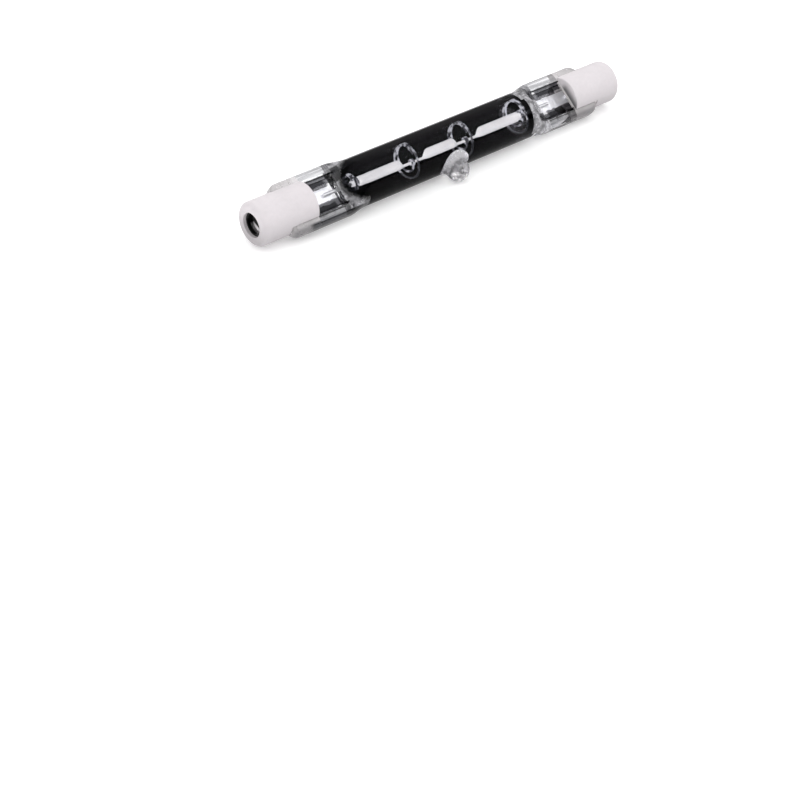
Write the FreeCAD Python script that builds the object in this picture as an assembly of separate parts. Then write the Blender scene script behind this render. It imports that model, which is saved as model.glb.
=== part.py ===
"""Double-ended linear halogen bulb with a recessed contact in the cap at each end.

Sizes are in millimetres. The bulb lies as it rests on a table: its axis runs along X,
its tube and the exhaust nub on the tube's side both touch Z = 0, and X = 0, Y = 0 is the
middle of its outline seen from above. Every piece is first made on the X axis, with the
flat of the pinch seals in the XY plane, and is then rolled and lifted into that rest.
"""
import FreeCAD
import Part

import math
import os

overall_length = 78.3

# Tube and shoulders of the quartz envelope
tube_outer_radius = 4.1
tube_wall = 1.0
shoulder_length = 3.8
shoulder_steps = 8
cavity_tip_inset = 0.7          # solid glass between the end of the cavity and the pinch
cavity_tip_half_width = 2.0
cavity_tip_half_height = 0.45

# Pinch seals
pinch_length = 11.5
pinch_end_depth = 5.45          # from the end of the bulb to the pinch inside the cap
pinch_half_width = 4.6
pinch_web_half = 1.1            # half thickness of the thin middle
pinch_bead_half = 1.5           # half thickness of the two edge beads
pinch_bead_width = 2.4          # from the side of the pinch to where the web is thin
pinch_bead_slope = 1.0          # width over which a bead thins to the web
pinch_squareness = 4.0          # exponent of the rounded outline, 2 would be an ellipse
pinch_corner_radius = 1.5       # corners of the outer end, seen face on
pinch_corner_steps = 4
outline_points = 48             # points round a section of the envelope

# Exhaust nub at the middle of the tube
nub_radius = 1.95
nub_reach = 5.0                 # centre of its round tip, from the axis of the bulb
nub_root_fillet = 0.7
channel_mouth_radius = 1.3      # channel from the cavity, sealed before the tip
channel_end_radius = 0.25
channel_reach = 5.3
pinch_turn = 15.0               # degrees between the nub and the plane of the pinches

# Ceramic caps
cap_radius = 3.65
cap_length = 10.7
cap_edge_fillet = 0.8
cap_inner_chamfer = 0.2
recess_radius = 2.05
cap_bore_radius = 0.7
slot_clearance = 0.2            # cement layer between the pinch and the slot
cement_inset = 0.25             # cement stays this far inside the cap's surface

# Contact cups
contact_depth = 1.7             # floor of the cup below the end of the cap
contact_clearance = 0.05
contact_wall = 0.25
contact_floor = 0.3
contact_rim_depth = 0.5         # rim of the cup below the end of the cap

# Leads and sealing foils
lead_radius = 0.3
foil_width = 2.4
foil_thickness = 0.06
foil_inner_gap = 1.1            # from the start of the pinch to the foil
foil_length = 7.4
weld_length = 1.6               # stretch of each lead that lies on the foil

# Filament: three coils and two links on one wire, with a tail wound on each inner lead
middle_coil_length = 7.8
link_length = 4.1
coil_radius = 0.85
coil_taper = 1.3                # length over which a coil narrows to its link
coil_end_taper = 0.3            # length over which an outer coil narrows to its tail
coil_wall = 0.2
link_radius = 0.25
link_sag = 0.55                 # the links run this far below the axis, as low as the coils
tail_length = 1.5
tail_reach = 0.8                # a tail ends this far past the round part of the tube
tail_clearance = 0.02           # between a tail and its lead

# Filament supports: each grips the filament and opens out to the wall of the tube
support_wire_radius = 0.18
support_clearance = 0.06        # from the tube, and from what the support grips
grip_turns = 1.25
grip_pitch = 0.42
spread_turns = 0.75
spread_length = 0.6
wall_turns = 1.25
wall_pitch = 0.45
end_grip_gap = 0.4              # from the right coil to the grip on its tail
support_points_per_turn = 8

same_place = 0.001              # points closer than this count as one

# Worked out from the sizes above
half_length = overall_length / 2
tube_inner_radius = tube_outer_radius - tube_wall
pinch_end = half_length - pinch_end_depth
pinch_start = pinch_end - pinch_length
tube_half_length = pinch_start - shoulder_length
cavity_end = pinch_start - cavity_tip_inset
cap_start = half_length - cap_length
slot_half = pinch_bead_half + slot_clearance
slot_end = pinch_end + slot_clearance
contact_face = half_length - contact_depth
contact_back = contact_face - contact_floor
contact_rim = half_length - contact_rim_depth
contact_radius = recess_radius - contact_clearance
foil_start = pinch_start + foil_inner_gap
foil_end = foil_start + foil_length
link_start = middle_coil_length / 2
link_end = link_start + link_length
tail_end = tube_half_length + tail_reach
tail_start = tail_end - tail_length
tail_bore_radius = lead_radius + tail_clearance
tail_radius = tail_bore_radius + coil_wall
grip_length = grip_turns * grip_pitch
support_length = grip_length + spread_length + wall_turns * wall_pitch
rest_angle = math.degrees(math.asin((tube_outer_radius - nub_radius) / nub_reach))
roll_angle = rest_angle + pinch_turn

ORIGIN = FreeCAD.Vector(0, 0, 0)
X_AXIS = FreeCAD.Vector(1, 0, 0)


def rod(radius, start, end):
    """Round bar on the X axis."""
    return Part.makeCylinder(radius, end - start, FreeCAD.Vector(start, 0, 0), X_AXIS)


def block(start, end, half_width, bottom, top):
    """Box along the X axis, as wide on both sides of it."""
    corner = FreeCAD.Vector(start, -half_width, bottom)
    return Part.makeBox(end - start, 2 * half_width, top - bottom, corner)


def closed_curve(points):
    curve = Part.BSplineCurve()
    curve.interpolate(points, PeriodicFlag=True)
    return Part.Wire([curve.toShape()])


def smooth_step(share):
    share = min(1.0, max(0.0, share))
    return share * share * (3 - 2 * share)


# Quartz envelope

def outline_angles():
    """Angles round the axis from +Y on, where a circle across the axis starts as well."""
    return [2 * math.pi * step / outline_points for step in range(outline_points)]


def round_outline(x, radius):
    return Part.Wire([Part.makeCircle(radius, FreeCAD.Vector(x, 0, 0), X_AXIS)])


def pinch_half_thickness(across, half_width):
    """Half thickness of the pinch at a distance from its middle: web, bead, round side."""
    bead_start = half_width - pinch_bead_width
    bead_share = smooth_step((across - bead_start) / pinch_bead_slope)
    thickness = pinch_web_half + (pinch_bead_half - pinch_web_half) * bead_share
    side = 1 - (across / half_width) ** pinch_squareness
    return thickness * max(0.0, side) ** (1 / pinch_squareness)


def envelope_outline(x, flat_share, half_width):
    """Outline of the envelope at x, from the round tube (0) to the pinch (1)."""
    if flat_share == 0:
        return round_outline(x, tube_outer_radius)
    points = []
    for angle in outline_angles():
        flat_y = half_width * math.cos(angle)
        flat_z = math.copysign(pinch_half_thickness(abs(flat_y), half_width), math.sin(angle))
        round_y = tube_outer_radius * math.cos(angle)
        round_z = tube_outer_radius * math.sin(angle)
        y = round_y + (flat_y - round_y) * flat_share
        z = round_z + (flat_z - round_z) * flat_share
        points.append(FreeCAD.Vector(x, y, z))
    return closed_curve(points)


def cavity_tip_outline(x):
    """Flattened end of the cavity inside a shoulder."""
    points = []
    for angle in outline_angles():
        across = cavity_tip_half_width * math.cos(angle)
        height = cavity_tip_half_height * math.sin(angle)
        points.append(FreeCAD.Vector(x, across, height))
    return closed_curve(points)


def end_stations():
    """Place, share of flatness and half width of the outlines from the tube to one end."""
    stations = []
    for step in range(shoulder_steps + 1):
        share = step / shoulder_steps
        x = tube_half_length + shoulder_length * share
        stations.append((x, smooth_step(share), pinch_half_width))
    for step in range(pinch_corner_steps + 1):
        turn = math.pi / 2 * step / pinch_corner_steps
        x = pinch_end - pinch_corner_radius * (1 - math.sin(turn))
        stations.append((x, 1.0, pinch_half_width - pinch_corner_radius * (1 - math.cos(turn))))
    return stations


def blown_tube():
    """Tube, shoulders and pinch seals as one form from end to end."""
    right = end_stations()
    left = [(-x, flat_share, half_width) for x, flat_share, half_width in reversed(right)]
    return Part.makeLoft([envelope_outline(*station) for station in left + right], True, True)


def nub_direction():
    """From the axis of the bulb to the tip of the nub, before the bulb is rolled."""
    turn = math.radians(pinch_turn)
    return FreeCAD.Vector(0, -math.cos(turn), math.sin(turn))


def nub_root_edges(shape):
    """Edges along which the nub leaves the tube."""
    edges = []
    for edge in shape.Edges:
        middle = edge.valueAt((edge.FirstParameter + edge.LastParameter) / 2)
        on_tube = abs(math.hypot(middle.y, middle.z) - tube_outer_radius) < same_place
        at_nub = abs(middle.x) <= nub_radius and middle.dot(nub_direction()) > 0
        if on_tube and at_nub:
            edges.append(edge)
    return edges


def envelope_outside():
    out = nub_direction()
    stem = Part.makeCylinder(nub_radius, nub_reach, ORIGIN, out)
    tip = Part.makeSphere(nub_radius, out * nub_reach, out)
    joined = blown_tube().fuse([stem, tip]).removeSplitter()
    return joined.makeFillet(nub_root_fillet, nub_root_edges(joined))


def cavity():
    """Gas space: round in the tube, flattened in the shoulders, with the nub's channel."""
    outlines = [
        cavity_tip_outline(-cavity_end),
        round_outline(-tube_half_length, tube_inner_radius),
        round_outline(tube_half_length, tube_inner_radius),
        cavity_tip_outline(cavity_end),
    ]
    bore = Part.makeLoft(outlines, True, True)
    channel_start = tube_inner_radius - channel_mouth_radius / 2
    channel = Part.makeCone(channel_mouth_radius, channel_end_radius,
                            channel_reach - channel_start,
                            nub_direction() * channel_start, nub_direction())
    return bore.fuse(channel)


def mirrored(shape):
    """The same shape at the left end."""
    return shape.mirror(ORIGIN, X_AXIS)


# Current path

def foil():
    return block(foil_start, foil_end, foil_width / 2, -lead_radius - foil_thickness, -lead_radius)


def outer_lead():
    return rod(lead_radius, foil_end - weld_length, contact_back)


def inner_lead():
    return rod(lead_radius, tail_start, foil_start + weld_length)


def contact():
    """Cup whose back stands on the floor of the recess."""
    cup = rod(contact_radius, contact_back, contact_rim)
    return cup.cut(rod(contact_radius - contact_wall, contact_face, contact_rim))


def hanging(x, sag):
    """Point at x that is this far below the axis once the bulb lies on its nub."""
    roll = math.radians(roll_angle)
    return FreeCAD.Vector(x, -sag * math.sin(roll), -sag * math.cos(roll))


def filament_stations():
    """Place along the axis, sag, outer radius and inner radius, from the middle to one end."""
    coil = (0, coil_radius, coil_radius - coil_wall)
    link = (link_sag, link_radius, link_radius - coil_wall)
    tail = (0, tail_radius, tail_bore_radius)
    return [
        (link_start - coil_taper, *coil),
        (link_start, *link),
        (link_end, *link),
        (link_end + coil_taper, *coil),
        (tail_start - coil_end_taper, *coil),
        (tail_start, *tail),
        (tail_end, *tail),
    ]


def filament():
    """Wound wire as one hollow round, wide in the coils and thin in the links."""
    right = filament_stations()
    stations = [(-x, *sizes) for x, *sizes in reversed(right)] + right
    outside = []
    inside = []
    for x, sag, outer, inner in stations:
        outside.append(Part.Wire([Part.makeCircle(outer, hanging(x, sag), X_AXIS)]))
        inside.append(Part.Wire([Part.makeCircle(inner, hanging(x, sag), X_AXIS)]))
    return Part.makeLoft(outside, True, True).cut(Part.makeLoft(inside, True, True))


# Filament supports

def support(grip_radius, grip_sag, grip_start, outer):
    """Spiral that grips from grip_start on, then opens to its outer radius further left."""
    inner = grip_radius + support_clearance + support_wire_radius
    total_turns = grip_turns + spread_turns + wall_turns
    steps = round(total_turns * support_points_per_turn)
    points = []
    for step in range(steps + 1):
        turns = total_turns * step / steps
        grip = min(turns, grip_turns)
        spread = min(max(turns - grip_turns, 0.0), spread_turns)
        wall = max(turns - grip_turns - spread_turns, 0.0)
        open_share = smooth_step(spread / spread_turns)
        radius = inner + (outer - inner) * open_share
        along = grip * grip_pitch + spread / spread_turns * spread_length + wall * wall_pitch
        angle = 2 * math.pi * turns
        centre = hanging(grip_start - along, grip_sag * (1 - open_share))
        points.append(centre + FreeCAD.Vector(0, radius * math.cos(angle),
                                              radius * math.sin(angle)))
    path = Part.BSplineCurve()
    path.interpolate(points)
    section = Part.Circle(points[0], path.tangent(path.FirstParameter)[0], support_wire_radius)
    return Part.Wire([path.toShape()]).makePipeShell([Part.Wire([section.toShape()])], True, True)


def widest_turn(x):
    """Radius of a turn that is clear of the wall of the gas space at x."""
    slope = (tube_inner_radius - cavity_tip_half_height) / (cavity_end - tube_half_length)
    into_shoulder = max(0.0, abs(x) - tube_half_length)
    margin = support_clearance + support_wire_radius
    if into_shoulder:
        margin *= math.hypot(1, slope)
    return tube_inner_radius - slope * into_shoulder - margin


def supports():
    """Four supports strung the same way: two on the links and one on each tail."""
    link_middle = (link_start + link_end) / 2
    left_end_start = -tail_start - support_wire_radius - support_clearance
    right_end_start = tail_start + end_grip_gap + grip_length
    wide = widest_turn(0)
    narrow = widest_turn(left_end_start - support_length)
    return {
        "left_end_support": support(tail_radius, 0, left_end_start, narrow),
        "left_middle_support": support(link_radius, link_sag, -link_middle, wide),
        "right_middle_support": support(link_radius, link_sag, link_middle, wide),
        "right_end_support": support(tail_radius, 0, right_end_start, wide),
    }


# Caps

def ceramic_cap():
    body = rod(cap_radius, cap_start, half_length)
    outer_edge = [edge for edge in body.Edges if edge.BoundBox.XMin > half_length - same_place]
    inner_edge = [edge for edge in body.Edges if edge.BoundBox.XMax < cap_start + same_place]
    body = body.makeFillet(cap_edge_fillet, outer_edge)
    body = body.makeChamfer(cap_inner_chamfer, inner_edge)
    slot = block(cap_start, slot_end, cap_radius, -slot_half, slot_half)
    recess = rod(recess_radius, contact_back, half_length)
    bore = rod(cap_bore_radius, slot_end, contact_back)
    return body.cut([slot, recess, bore])


def cement(envelope):
    """Fills the slot round the pinch and the bore round the outer lead."""
    slot = block(cap_start + cement_inset, slot_end, cap_radius, -slot_half, slot_half)
    filling = slot.common(rod(cap_radius - cement_inset, cap_start, slot_end))
    bore = rod(cap_bore_radius, slot_end, contact_back)
    return filling.fuse(bore).cut([envelope, outer_lead()])


def build():
    seal_metal = [foil(), outer_lead(), inner_lead()]
    seal_metal += [mirrored(shape) for shape in seal_metal]
    envelope = envelope_outside()
    nodes = {
        "quartz_envelope": envelope.cut(cavity()).cut(seal_metal),
        "filament": filament(),
    }
    right_pieces = {
        "ceramic_cap": ceramic_cap(),
        "cement": cement(envelope),
        "contact": contact(),
        "outer_lead": outer_lead(),
        "foil": foil(),
        "inner_lead": inner_lead(),
    }
    for name, shape in right_pieces.items():
        nodes["right_" + name] = shape
        nodes["left_" + name] = mirrored(shape)
    nodes.update(supports())
    return nodes


def laid_down(nodes):
    """Roll the bulb onto its nub, and move its outline over the origin."""
    for shape in nodes.values():
        shape.rotate(ORIGIN, X_AXIS, roll_angle)
    box = nodes["quartz_envelope"].optimalBoundingBox(False)
    for shape in nodes.values():
        shape.translate(FreeCAD.Vector(0, -box.Center.y, -box.ZMin))
    return nodes


def export(nodes):
    os.makedirs("parts", exist_ok=True)
    for name, shape in nodes.items():
        shape.exportStep(os.path.join("parts", name + ".step"))


export(laid_down(build()))
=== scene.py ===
import math
from collections import namedtuple

import bpy
from mathutils import Matrix, Vector


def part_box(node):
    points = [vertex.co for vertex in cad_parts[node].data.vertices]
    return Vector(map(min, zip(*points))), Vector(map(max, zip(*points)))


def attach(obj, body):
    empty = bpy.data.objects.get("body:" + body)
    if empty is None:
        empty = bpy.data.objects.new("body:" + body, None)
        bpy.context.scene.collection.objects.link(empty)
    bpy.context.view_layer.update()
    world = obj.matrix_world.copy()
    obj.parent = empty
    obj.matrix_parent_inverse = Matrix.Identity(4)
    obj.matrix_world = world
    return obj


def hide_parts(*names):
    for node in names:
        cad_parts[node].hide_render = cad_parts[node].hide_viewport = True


bl_info = {
    "name": "Linear Halogen Bulb",
    "version": (1, 0, 0),
    "blender": (4, 5, 0),
    "location": "View3D > Sidebar > Halogen Bulb",
    "description": "Builds the glass, wires, caps and studio of a double-ended halogen bulb",
    "category": "Object",
}

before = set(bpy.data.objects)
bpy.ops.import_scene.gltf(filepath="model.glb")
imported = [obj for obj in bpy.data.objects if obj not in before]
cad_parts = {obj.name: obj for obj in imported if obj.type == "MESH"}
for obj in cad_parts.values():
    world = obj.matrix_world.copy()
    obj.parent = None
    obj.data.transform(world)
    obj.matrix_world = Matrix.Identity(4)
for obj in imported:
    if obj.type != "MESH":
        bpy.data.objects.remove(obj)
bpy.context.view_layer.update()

MM = 0.001
SIDES = ("right", "left")

# Where the bulb lies: its axis, and how far its pinch seals are rolled about it
filament_low, filament_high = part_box("filament")
AXIS = (filament_low + filament_high) / 2
cap_low, cap_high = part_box("right_ceramic_cap")
PINCH_TURN = math.radians(15)
NUB_TILT = math.radians(25.5)
ROLL = NUB_TILT + PINCH_TURN
SEAT = Matrix.Translation(AXIS) @ Matrix.Rotation(ROLL, 4, "X")
HANGING = Vector((0, -math.sin(ROLL), -math.cos(ROLL)))

# Glass: flare at the nub's root, corner of a pinch seal, and how the gas space ends
NUB_FLARE = 1.0 * MM
PINCH_CORNER = 1.5 * MM
CAVITY_TIP = 3.1 * MM
CAVITY_TIP_HALF_WIDTH = 2.0 * MM
CAVITY_TIP_HALF_HEIGHT = 0.45 * MM

# Filament: outer radius of its stretches, and where they start and end
COIL_RADIUS = 0.85 * MM
LINK_RADIUS = 0.25 * MM
TAIL_RADIUS = 0.52 * MM
COIL_TAPER, TAIL_TAPER = 1.3 * MM, 0.3 * MM
LINK_START, LINK_END = 3.9 * MM, 8.0 * MM
TAIL_START, TAIL_END = 17.7 * MM, 19.2 * MM

# Supports: turns and pitch of the grip, the spread and the turns along the wall
GRIP_TURNS, SPREAD_TURNS, WALL_TURNS = 1.25, 0.75, 1.25
GRIP_PITCH, SPREAD_LENGTH, WALL_PITCH = 0.42 * MM, 0.6 * MM, 0.45 * MM
SUPPORT_CLEARANCE = 0.06 * MM
END_GRIP_GAP = 0.4 * MM


class BulbGlass(bpy.types.PropertyGroup):
    """Sizes and colours of the quartz envelope."""
    tube_radius: bpy.props.FloatProperty(
        name="Tube radius", description="Outside of the tube",
        default=4.1 * MM, min=MM, unit="LENGTH", precision=5)
    wall: bpy.props.FloatProperty(
        name="Wall", description="Thickness of the tube's glass",
        default=1.0 * MM, min=0.1 * MM, unit="LENGTH", precision=5)
    tube_half: bpy.props.FloatProperty(
        name="Half tube", description="From the middle of the bulb to the shoulders",
        default=18.4 * MM, min=MM, unit="LENGTH", precision=5)
    shoulder: bpy.props.FloatProperty(
        name="Shoulder", description="Length over which the tube turns into a pinch seal",
        default=3.8 * MM, min=MM, unit="LENGTH", precision=5)
    pinch_end: bpy.props.FloatProperty(
        name="Pinch end", description="From the middle of the bulb to the end of a pinch seal",
        default=33.7 * MM, min=MM, unit="LENGTH", precision=5)
    pinch_half_width: bpy.props.FloatProperty(
        name="Half pinch width", description="From the axis to the side of a pinch seal",
        default=4.6 * MM, min=MM, unit="LENGTH", precision=5)
    web_half: bpy.props.FloatProperty(
        name="Half web", description="Half thickness of a pinch seal's middle",
        default=1.1 * MM, min=0.1 * MM, unit="LENGTH", precision=5)
    bead_half: bpy.props.FloatProperty(
        name="Half bead", description="Half thickness of a pinch seal's edge beads",
        default=1.5 * MM, min=0.1 * MM, unit="LENGTH", precision=5)
    nub_radius: bpy.props.FloatProperty(
        name="Nub radius", description="Radius of the sealed exhaust nub",
        default=1.95 * MM, min=0.1 * MM, unit="LENGTH", precision=5)
    nub_reach: bpy.props.FloatProperty(
        name="Nub reach", description="From the axis to the centre of the nub's round tip",
        default=5.0 * MM, min=MM, unit="LENGTH", precision=5)
    # Where the tube's painted shade, its near-black tint, ends at the shoulders
    left_tongue: bpy.props.FloatProperty(
        name="Left tongue", description="How far the dark glass runs into the left shoulder",
        default=3.0 * MM, min=0.1 * MM, unit="LENGTH", precision=5)
    tongue_half_width: bpy.props.FloatProperty(
        name="Half tongue width", description="From the middle of that tongue to its side",
        default=3.5 * MM, min=0.1 * MM, unit="LENGTH", precision=5)
    right_bare: bpy.props.FloatProperty(
        name="Bare right end", description="How far short of the right shoulder the dark glass ends",
        default=0.8 * MM, min=0, unit="LENGTH", precision=5)
    right_slant: bpy.props.FloatProperty(
        name="Right slant", description="How much that end leans, as a share of the width",
        default=0.12, min=0, max=1)
    # Painted shade: the tube's near-black tint stands for darkness inside the clear quartz
    tube_shade_colour: bpy.props.FloatVectorProperty(
        name="Tube colour", description="What light keeps on its way through the dark tube",
        default=(0.005, 0.005, 0.006), min=0, max=1, size=3, subtype="COLOR")
    clear_colour: bpy.props.FloatVectorProperty(
        name="End colour", description="What light keeps on its way through the clear ends",
        default=(0.93, 0.93, 0.95), min=0, max=1, size=3, subtype="COLOR")
    # Painted shade: a near-black lining inside the glass where the gas space ends and in the nub's
    # channel
    inner_shade_colour: bpy.props.FloatVectorProperty(
        name="Smoke colour", description="Smoky glass where the gas space ends",
        default=(0.003, 0.003, 0.0035), min=0, max=1, size=3, subtype="COLOR")
    nub_colour: bpy.props.FloatVectorProperty(
        name="Nub colour", description="Cloudy glass of the exhaust nub",
        default=(0.62, 0.61, 0.65), min=0, max=1, size=3, subtype="COLOR")
    milky_colour: bpy.props.FloatVectorProperty(
        name="Shoulder colour", description="Clouded glass of the shoulders",
        default=(0.80, 0.79, 0.83), min=0, max=1, size=3, subtype="COLOR")
    wing_colour: bpy.props.FloatVectorProperty(
        name="Wing colour", description="Frosted glass where a pinch seal stands in its cap",
        default=(0.82, 0.79, 0.80), min=0, max=1, size=3, subtype="COLOR")
    # Painted shade: dark patches in the seal glass beside the foils and dark bands in the shoulders
    # and wings
    shade_colour: bpy.props.FloatVectorProperty(
        name="Shade colour", description="Dark seal glass beside the foils",
        default=(0.035, 0.035, 0.04), min=0, max=1, size=3, subtype="COLOR")


class BulbWires(bpy.types.PropertyGroup):
    """Sizes and colours of the filament, its supports and the leads."""
    wire_radius: bpy.props.FloatProperty(
        name="Filament wire", description="Radius of the wire that the filament is wound from",
        default=0.1 * MM, min=0.01 * MM, unit="LENGTH", precision=5)
    wire_pitch: bpy.props.FloatProperty(
        name="Filament pitch", description="Distance from turn to turn",
        default=0.25 * MM, min=0.05 * MM, unit="LENGTH", precision=5)
    support_radius: bpy.props.FloatProperty(
        name="Support wire", description="Radius of the support wire",
        default=0.18 * MM, min=0.01 * MM, unit="LENGTH", precision=5)
    link_sag: bpy.props.FloatProperty(
        name="Link sag", description="How far the straight links hang below the axis",
        default=0.55 * MM, min=0, unit="LENGTH", precision=5)
    # Painted light: the filament's colour and glow are tuned so that it reads white through the
    # tube's near-black tint
    filament_colour: bpy.props.FloatVectorProperty(
        name="Filament colour", description="Light of the glowing filament",
        default=(0.93, 0.92, 0.89), min=0, max=1, size=3, subtype="COLOR")
    filament_painted_glow: bpy.props.FloatProperty(
        name="Filament glow", description="Strength of the filament's light",
        default=7.8, min=0)
    # Painted light: the supports glow so that they read bright inside the tinted tube
    support_painted_glow: bpy.props.FloatProperty(
        name="Support glow", description="Light that the supports give back inside the dark tube",
        default=7.0, min=0)


class BulbCaps(bpy.types.PropertyGroup):
    """Sizes and colours of the ceramic caps and their contacts."""
    radius: bpy.props.FloatProperty(
        name="Cap radius", description="Radius of a ceramic cap",
        default=3.65 * MM, min=MM, unit="LENGTH", precision=5)
    length: bpy.props.FloatProperty(
        name="Cap length", description="Length of a ceramic cap",
        default=cap_high.x - cap_low.x, min=MM, unit="LENGTH", precision=5)
    edge: bpy.props.FloatProperty(
        name="Outer edge", description="Rounding of a cap's outer edge",
        default=0.8 * MM, min=0.1 * MM, unit="LENGTH", precision=5)
    recess_radius: bpy.props.FloatProperty(
        name="Recess radius", description="Radius of the recess in a cap's end",
        default=2.05 * MM, min=0.1 * MM, unit="LENGTH", precision=5)
    slot_half: bpy.props.FloatProperty(
        name="Half slot", description="Half height of the slot that the pinch seal stands in",
        default=1.7 * MM, min=0.1 * MM, unit="LENGTH", precision=5)
    colour: bpy.props.FloatVectorProperty(
        name="Ceramic colour", description="Unglazed white ceramic",
        default=(0.79, 0.745, 0.77), min=0, max=1, size=3, subtype="COLOR")


class BulbStudio(bpy.types.PropertyGroup):
    """Floor, light and camera."""
    floor_colour: bpy.props.FloatVectorProperty(
        name="Floor colour", description="Pale seamless floor",
        default=(0.93, 0.93, 0.93), min=0, max=1, size=3, subtype="COLOR")
    floor_glow: bpy.props.FloatProperty(
        name="Floor glow", description="Light that the floor adds, which thins the shadow",
        default=0.28, min=0)
    key_power: bpy.props.FloatProperty(
        name="Key light", description="Power of the soft main light",
        default=3.0, min=0, unit="POWER")
    sky_strength: bpy.props.FloatProperty(
        name="Surrounding light", description="Strength of the even light from all sides",
        default=0.75, min=0)
    lens: bpy.props.FloatProperty(
        name="Focal length", description="Focal length in millimetres on a 36 mm sensor",
        default=88.0, min=20)


def smooth_step(share):
    share = min(1.0, max(0.0, share))
    return share * share * (3 - 2 * share)


def even_stations(start, end, count):
    """Evenly spaced places after start, the last one at the end."""
    return [start + (end - start) * step / count for step in range(1, count + 1)]


# Handling pieces

def deselect_all():
    bpy.ops.object.select_all(action="DESELECT")


def make_active(piece):
    deselect_all()
    piece.select_set(True)
    bpy.context.view_layer.objects.active = piece


def start_piece(name):
    """Name the primitive that was just added."""
    piece = bpy.context.object
    piece.name = name
    piece.data.name = name
    return piece


def apply_place(piece):
    make_active(piece)
    bpy.ops.object.transform_apply(location=True, rotation=True, scale=True)


def edit_whole(piece):
    """Enter edit mode with the whole piece selected."""
    make_active(piece)
    bpy.ops.object.mode_set(mode="EDIT")
    bpy.ops.mesh.select_all(action="SELECT")


def leave_edit():
    bpy.ops.object.mode_set(mode="OBJECT")


def apply_modifier(piece, kind, **settings):
    modifier = piece.modifiers.new(kind.lower(), kind)
    for key, value in settings.items():
        setattr(modifier, key, value)
    make_active(piece)
    bpy.ops.object.modifier_apply(modifier=modifier.name)


def recalculate_normals(piece, inside=False):
    edit_whole(piece)
    bpy.ops.mesh.remove_doubles(threshold=1e-7)
    bpy.ops.mesh.normals_make_consistent(inside=inside)
    leave_edit()


def seat_in_bulb(piece):
    """Move a piece made on the X axis to where the bulb lies, rolled like its pinch seals."""
    piece.data.transform(SEAT)
    piece.data.update()


def mirror_copy(piece, name):
    """A copy with its own mesh at the left end."""
    make_active(piece)
    bpy.ops.object.duplicate()
    copy = start_piece(name)
    copy.scale.x = -1
    apply_place(copy)
    edit_whole(copy)
    bpy.ops.mesh.flip_normals()
    leave_edit()
    return copy


def dress(piece, *materials):
    """Give a piece, or a plain solid of the frame, its materials in place of earlier ones."""
    piece.data.materials.clear()
    for material in materials:
        arrange_nodes(material.node_tree)
        piece.data.materials.append(material)


def finish_piece(piece, slot, *nodes):
    """Hang a piece on the bulb in place of its nodes."""
    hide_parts(*nodes)
    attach(piece, "root")


def finish_pair(right, name, material, slot, node):
    """Seat and finish a piece of the right end and its mirror copy at the left end."""
    left = mirror_copy(right, f"left_{name}")
    for side, piece in zip(SIDES, (right, left)):
        seat_in_bulb(piece)
        dress(piece, material)
        finish_piece(piece, slot, f"{side}_{node}")


# Envelope: the glass is drawn out ring by ring, and each ring is then pressed to its outline

def drawn_rings(name, stations, sides, radius):
    """Closed round tube along X with a ring of points at each station."""
    deselect_all()
    bpy.ops.mesh.primitive_circle_add(vertices=sides, radius=radius, fill_type="NGON",
                                      location=(stations[0], 0, 0),
                                      rotation=(0, math.pi / 2, 0))
    tube = start_piece(name)
    apply_place(tube)
    edit_whole(tube)
    for start, end in zip(stations, stations[1:]):
        bpy.ops.mesh.extrude_region_move(
            TRANSFORM_OT_translate={"value": (end - start, 0, 0)})
    leave_edit()
    return tube


def square_to_ring(column, row):
    """Ring number and angle on the disc for a place in a square of rows and columns."""
    ring = max(abs(column), abs(row))
    if ring == 0:
        return 0, 0.0
    if abs(column) >= abs(row):
        angle = math.pi / 4 * row / column
        return ring, angle if column > 0 else angle + math.pi
    angle = math.pi / 2 - math.pi / 4 * column / row
    return ring, angle if row > 0 else angle + math.pi


class TubePatch:
    """Round patch on a tube, centred on the nub, that is drawn out along the nub."""

    def __init__(self, radius, sides, rings):
        self.radius = radius
        self.turn = 2 * math.pi / sides
        self.spacing = radius * self.turn
        self.rings = rings
        self.reach = rings * self.spacing
        self.centre = math.pi - PINCH_TURN

    def ring_of(self, x, angle):
        """Ring and direction of a grid point, or None outside the patch."""
        column = round(x / self.spacing)
        away = (angle - self.centre + math.pi) % (2 * math.pi) - math.pi
        row = round(away / self.turn)
        if max(abs(column), abs(row)) > self.rings:
            return None
        return square_to_ring(column, row)

    def on_tube(self, reach, direction):
        """Place on the tube at a distance from the nub's axis, along the surface."""
        angle = self.centre + reach * math.sin(direction) / self.radius
        return Vector((reach * math.cos(direction), self.radius * math.cos(angle),
                       self.radius * math.sin(angle)))

    def above(self, reach, direction, height):
        """Place beside the nub's axis at a height from the axis of the bulb."""
        outward = Vector((0, math.cos(self.centre), math.sin(self.centre)))
        across = Vector((0, -math.sin(self.centre), math.cos(self.centre)))
        return (Vector((1, 0, 0)) * reach * math.cos(direction)
                + across * reach * math.sin(direction) + outward * height)

    def tube_height(self, reach, direction):
        return math.sqrt(self.radius ** 2 - (reach * math.sin(direction)) ** 2)

    def skirt(self, start, share, direction, grid_place):
        """Place between a ring round the nub and the tube's own grid."""
        reach = start + (self.reach - start) * share
        return self.on_tube(reach, direction).lerp(grid_place, smooth_step(share))

    def stations(self, end, count):
        """Half of the tube: in steps of the patch beside the nub, then evenly to the end."""
        beside_nub = [self.spacing * step for step in range(self.rings + 1)]
        return beside_nub + even_stations(beside_nub[-1], end, count)


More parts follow.
